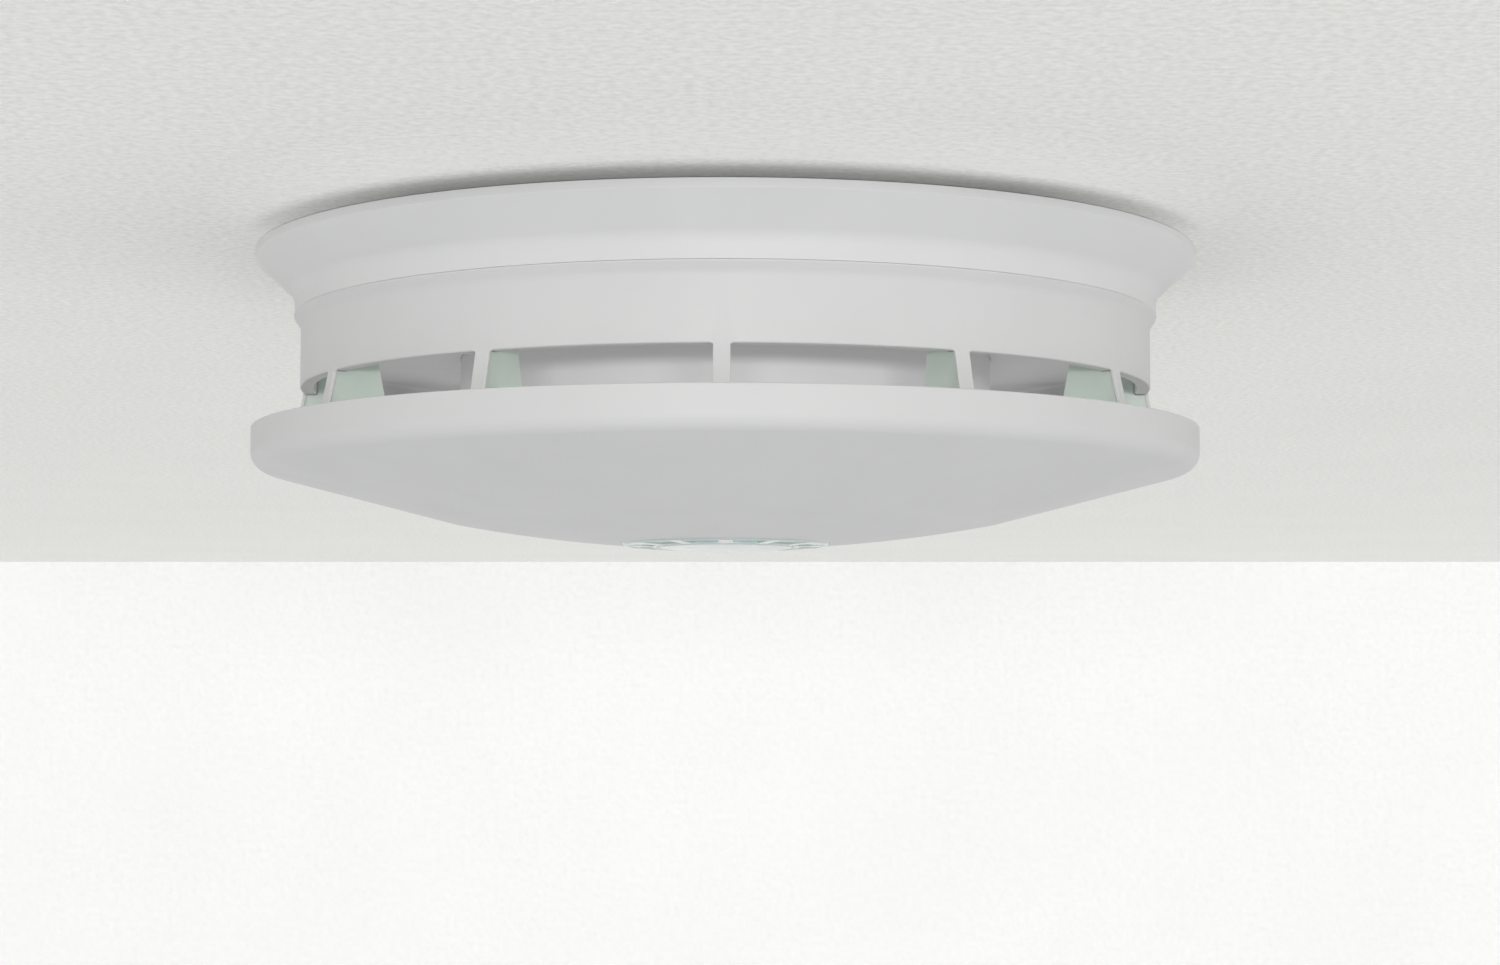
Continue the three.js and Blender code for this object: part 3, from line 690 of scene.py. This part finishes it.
def inlet_shroud():
    """The drum in the middle of the inlet, with a row of smoke slots round its foot."""
    inner_r = HUB_R - 1.6
    flange_under_z = DECK_Z + 0.1
    wall = revolve(
        "inlet_shroud_wall",
        rounded(
            [
                (inner_r, SHROUD_Z, 0.2),
                (HUB_R, SHROUD_Z, 0.2),
                (HUB_R, flange_under_z, 0.2),
                (FLANGE_R, flange_under_z, 0.2),
                (FLANGE_R, FLANGE_Z, 0.2),
                (inner_r, FLANGE_Z, 0.3),
            ]
        ),
    )
    slots = [
        soften(sector(inner_r - 1, HUB_R + 1, start, start + 9, RIM_Z + 0.1, RIM_Z + 2.2), 0.5)
        for start in angles(24, 3)
    ]
    finished(cut(wall, slots), "head", shroud_plastic_painted_lighter, "shaded_white_plastic", "inlet_shroud")


def lens_ring():
    bore_r, tube_r = BUTTON_R + 0.12, 12.4
    tube_inner_r = tube_r - 1.6
    # The collar lies just over the disc's inside, between these levels.
    seat_z, seat_top_z = -37.4, -36.6
    ring = revolve(
        "lens_ring_body",
        rounded(
            [
                (bore_r, LENS_Z + 0.3, 0.1),
                (bore_r + 0.3, LENS_Z, 0.1),
                (LENS_R - 0.4, LENS_Z + 0.22, 0.2),
                (LENS_R, LENS_Z + 0.5, 0.15),
                (LENS_R, seat_z, 0.2),
                (COLLAR_R, seat_z, 0.2),
                (COLLAR_R, seat_top_z, 0.2),
                (tube_r, seat_top_z, 0.3),
                (tube_r, LENS_TOP_Z, 0.2),
                (tube_inner_r, LENS_TOP_Z, 0.2),
                (tube_inner_r, seat_z - 0.2, 0.3),
                (bore_r, seat_z - 0.2, 0.2),
            ]
        ),
        128,
    )
    # Twelve shallow windows in the underside, with a rib between each two.
    windows = [
        sector(bore_r + 0.7, LENS_R - 0.6, rib + 4, rib + 26, LENS_Z - 1, LENS_Z + 0.27)
        for rib in angles(RIB_COUNT)
    ]
    finished(cut(ring, windows), "head", lens_plastic, "pale_green_clear_plastic", "lens_ring")


def test_button():
    """A slightly domed cap with a flange round its foot and a stem in its hollow."""
    flange_under_z = BUTTON_TOP_Z - 3.2
    flange_z = flange_under_z + 0.8
    hollow_r, hollow_z, stem_r = BUTTON_R - 1.2, CAP_Z + 1.6, 2.2
    outline = [
        (0, BUTTON_Z),
        (3, BUTTON_Z + 0.02),
        (6, BUTTON_Z + 0.08),
        (BUTTON_R - 0.2, BUTTON_Z + 0.19, 0.35),
        (BUTTON_R, flange_under_z, 0.1),
        (BUTTON_FLANGE_R, flange_under_z, 0.15),
        (BUTTON_FLANGE_R, flange_z, 0.15),
        (hollow_r, flange_z, 0.2),
        (hollow_r, hollow_z, 0.3),
        (stem_r, hollow_z, 0.3),
        (stem_r, BUTTON_TOP_Z, 0.2),
        (0, BUTTON_TOP_Z),
    ]
    cap = revolve("test_button_cap", rounded(outline), 128)
    finished(cap, "button", gloss_plastic, "white_plastic", "test_button")


def button_spring():
    """A wire coil with flat closed ends, the spring that the button presses on."""
    wire_r, turns, steps, sides = 0.28, 5.5, 36, 10
    closed, closed_rise = 0.75, 0.45
    outer_r, high_z, low_z = levels("button_spring")
    coil_r = outer_r - wire_r
    length = high_z - low_z
    open_rise = length - 2 * wire_r - 2 * closed_rise
    bm = bmesh.new()
    rings = []
    for i in range(round(turns * steps) + 1):
        turn = i / steps
        z = low_z + wire_r + closed_rise * min(turn / closed, 1)
        z += open_rise * min(max((turn - closed) / (turns - 2 * closed), 0), 1)
        z += closed_rise * max((turn - turns + closed) / closed, 0)
        section = [(coil_r + x, z + y) for x, y in circle(wire_r, count=sides)]
        rings.append([bm.verts.new(polar(r, turn * 360, height)) for r, height in section])
    for ring, following in zip(rings, rings[1:]):
        for j in range(sides):
            k = (j + 1) % sides
            bm.faces.new([ring[j], ring[k], following[k], following[j]])
    bm.faces.new(rings[0])
    bm.faces.new(rings[-1])
    coil = finished(solid("button_spring_coil", bm), "head", steel, "steel", "button_spring")
    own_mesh(coil)


# ------------------------------------------------------------------ pieces that keep their CAD shape

CARRIED = {
    white_plastic: ["rear_cover"],
    steel: ["insect_screen", "battery_tab_positive", "battery_tab_negative"]
    + [f"cover_screw_{i}" for i in range(1, 5)]
    + [f"stack_screw_{i}" for i in range(1, 5)],
    grey_plastic: ["bulkhead", "photodiode", "inductor", "activation_slider", "switch_lead"],
    black_plastic: ["chamber_base", "chamber_cap", "microcontroller", "sounder_cup", "sounder_lid"]
    + ["sounder_lead_black", "slide_switch", "tact_switch"],
    lamp_plastic: ["ir_emitter", "lamp_1", "lamp_2", "lamp_3", "lamp_4"],
    red_plastic: ["sounder_lead_red", "switch_plunger"],
    brass: ["piezo_disc"],
    can_metal: ["capacitor_1", "capacitor_2"],
    board_lacquer: ["main_board"],
    battery_wrap: ["battery"],
}


def carry_over():
    for material, names in CARRIED.items():
        for name in names:
            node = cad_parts[name]
            for slot in node.material_slots:
                slot.material = material


# ------------------------------------------------------------------ stage, lights and camera

CEILING = (0.905, 0.905, 0.87)
WALL_PAINT = (0.96, 0.96, 0.95)
FLOOR_PAINT = (0.92, 0.925, 0.92)

# The ceiling's painted shadow: its colour at distances in front of the lip, in millimetres, as a share of
# its brightest.
SHADE_REACH = 40
SHADE_PEAK = 1.1
SHADE = [(0, 0.3), (3, 0.36), (6, 0.5), (9, 0.8), (12, 1.0), (16, 1.0), (22, 0.98), (40, 0.92)]


def one_sided(s, front):
    """Gives a material this front and nothing behind, so that it hides nothing from the other side."""
    clear = s.node("ShaderNodeBsdfTransparent")
    behind = s.node("ShaderNodeNewGeometry").outputs["Backfacing"]
    mixed = s.node("ShaderNodeMixShader", {0: behind, 1: front.outputs[0], 2: clear.outputs[0]})
    s.tree.links.new(mixed.outputs[0], s.tree.nodes["Material Output"].inputs["Surface"])


def plaster(name, base, grain, depth, specks, glow=0.0, shaded=False):
    """Painted plaster: an uneven tone, specks, a coarse trowelled relief and a fine sandy one, and if
    shaded a painted shadow.
    """
    s = Shader(name)
    tone = s.blend(s.fit(s.noise(60, 4), 0, 1), shade(base, 0.985), shade(base, 1.01))
    tone = s.blend(s.fit(s.noise(grain, 2), 0, specks), tone, (0, 0, 0))
    if shaded:
        # A painted shadow of the alarm darkens the colour and the glow in front of the lip.
        light = contact_shade(s)
        tone = s.blend(light, (0, 0, 0), tone)
        glow = s.maths("MULTIPLY", light, glow)
    coarse = s.bump(s.noise(grain * 4, 4, s.stretched(1, 1.6, 1)), depth * 2)
    s.set(Base_Color=tone, Roughness=0.9, Specular_IOR_Level=0.2)
    s.set(Normal=s.bump(s.noise(grain, 3), depth, coarse))
    s.set(Emission_Color=(1, 1, 1, 1), Emission_Strength=glow)
    one_sided(s, s.surface)
    return s.material


def contact_shade(s):
    """The share of the ceiling's colour that is kept, small in front of the lip: a painted shadow of the
    alarm.
    """
    x, y = (s.part(s.place, axis) for axis in "XY")
    chord_squared = s.maths("SUBTRACT", (LIP_R * MM) ** 2, s.maths("MULTIPLY", x, x))
    chord = s.maths("SQRT", s.maths("MAXIMUM", chord_squared, 0))
    ahead = s.maths("SUBTRACT", s.maths("MULTIPLY", y, -1), chord)
    ramp = s.node("ShaderNodeValToRGB", {"Fac": s.fit(ahead, 0, 1, 0, SHADE_REACH * MM)})
    ramp.color_ramp.elements[0].color = (*[SHADE[0][1]] * 3, 1)
    ramp.color_ramp.elements[1].color = (*[SHADE[-1][1]] * 3, 1)
    for distance, light in SHADE[1:-1]:
        ramp.color_ramp.elements.new(distance / SHADE_REACH).color = (light, light, light, 1)
    radius = s.node("ShaderNodeVectorMath", {0: s.place}, operation="LENGTH").outputs["Value"]
    in_front = s.fit(s.maths("DIVIDE", y, radius), 0, 1, -0.35, -0.85)
    share = s.node("ShaderNodeMix", {"Factor": in_front}, data_type="FLOAT")
    s.feed(share.inputs["A"], 1 / SHADE_PEAK)
    s.feed(share.inputs["B"], ramp.outputs["Color"])
    return share.outputs["Result"]


def panel(name, faces, material):
    """A piece of the stage from flat faces, each a list of corners in metres that turn round its front."""
    bm = bmesh.new()
    for corners in faces:
        bm.faces.new([bm.verts.new(corner) for corner in corners])
    bmesh.ops.remove_doubles(bm, verts=bm.verts, dist=0.001 * MM)
    obj = to_object(name, bm)
    obj.data.materials.append(material)
    obj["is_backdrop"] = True
    return obj


def rectangle(x, near, far):
    """A face that reaches x to each side, between two edges given as (y, z), all in metres."""
    return [(-x, *near), (x, *near), (x, *far), (-x, *far)]


def stage():
    """A ceiling that the alarm hangs from, a wall behind it, and a floor far below."""
    reach, wall_y, floor_z, top_z = 4.0, 0.818, -1.3, 1.5
    # The ceiling stops under the lip, so that light from above reaches the alarm's back.
    inner, outer, count = LIP_R - 0.5, reach / MM, 96
    faces = [
        [polar(inner, a), polar(inner, b), polar(outer, b), polar(outer, a)]
        for a, b in zip(angles(count), angles(count, 360 / count))
    ]
    paint = plaster("ceiling plaster", shade(CEILING, SHADE_PEAK), 1.1, 0.3, 0.15, glow=0.09, shaded=True)
    panel("ceiling", faces, paint).location.z = 0.05 * MM
    face = rectangle(reach, (wall_y, floor_z), (wall_y, top_z))
    panel("wall", [face], plaster("wall plaster", WALL_PAINT, 2.0, 0.12, 0.1, glow=0.17))
    # The floor is far wider than the room, and lets the light through.
    wide = 60.0
    face = rectangle(wide, (-wide, floor_z), (wide, floor_z))
    floor = panel("floor", [face], plaster("floor plaster", FLOOR_PAINT, 1.5, 0.02, 0.02))
    floor.visible_diffuse = False
    floor.visible_glossy = False
    floor.visible_shadow = False


def inlet_fill(strength):
    """An unseen ring inside the smoke inlet, standing in for light scattered through its thin walls."""
    s = Shader("inlet fill")
    one_sided(s, s.node("ShaderNodeEmission", {"Strength": strength}))
    inner, outer, z, count = 37.5, 57, -23.5, 48
    faces = [
        [polar(inner, a, z), polar(outer, a, z), polar(outer, b, z), polar(inner, b, z)]
        for a, b in zip(angles(count), angles(count, 360 / count))
    ]
    ring = panel("inlet fill", faces, s.material)
    ring.visible_camera = False
    ring.visible_shadow = False


def soft_light(name, at, width, height, power):
    """A flat soft light that faces the alarm, in metres, with its power in watts."""
    data = bpy.data.lights.new(name, "AREA")
    data.shape = "RECTANGLE"
    data.size = width
    data.size_y = height
    data.energy = power
    alarm = Vector((0, 0, -0.02))
    obj = placed(name, data)
    obj.location = at
    obj.rotation_euler = (alarm - Vector(at)).to_track_quat("-Z", "Y").to_euler()
    obj.visible_camera = False


def lights():
    world = bpy.data.worlds.new("studio")
    world.use_nodes = True
    background = world.node_tree.nodes["Background"]
    background.inputs["Color"].default_value = (0.985, 0.99, 1.0, 1.0)
    background.inputs["Strength"].default_value = 0.655
    bpy.context.scene.world = world
    soft_light("front", (0.1, -1.8, -0.07), width=1.0, height=0.12, power=10.8)
    soft_light("right", (1.3, -1.2, -0.07), width=0.9, height=0.12, power=0.8)
    soft_light("low", (0.1, -1.2, -0.75), width=1.0, height=0.5, power=0.88)
    inlet_fill(0.58)


def camera():
    """The photo's view, from a little below the ceiling, tilted up at the alarm."""
    data = bpy.data.cameras.new("camera")
    data.lens = 71.09
    data.sensor_width = 36
    level_tilt, up_tilt = 90, 4.477
    obj = placed("camera", data)
    obj.location = (0.00337, -0.40917, -0.06304)
    obj.rotation_euler = (radians(level_tilt + up_tilt), 0, 0)
    bpy.context.scene.camera = obj


# ------------------------------------------------------------------ the scene

camera()
mounting_base()
casing()
vane_ring()
front_cover()
inlet_floor()
inlet_shroud()
lens_ring()
test_button()
button_spring()
carry_over()
stage()
lights()
bpy.context.scene.view_settings.view_transform = "Standard"

boxes = {"cad": cad_box, "visual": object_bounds()}
{name: [list(corner) for corner in ends] for name, ends in boxes.items()}
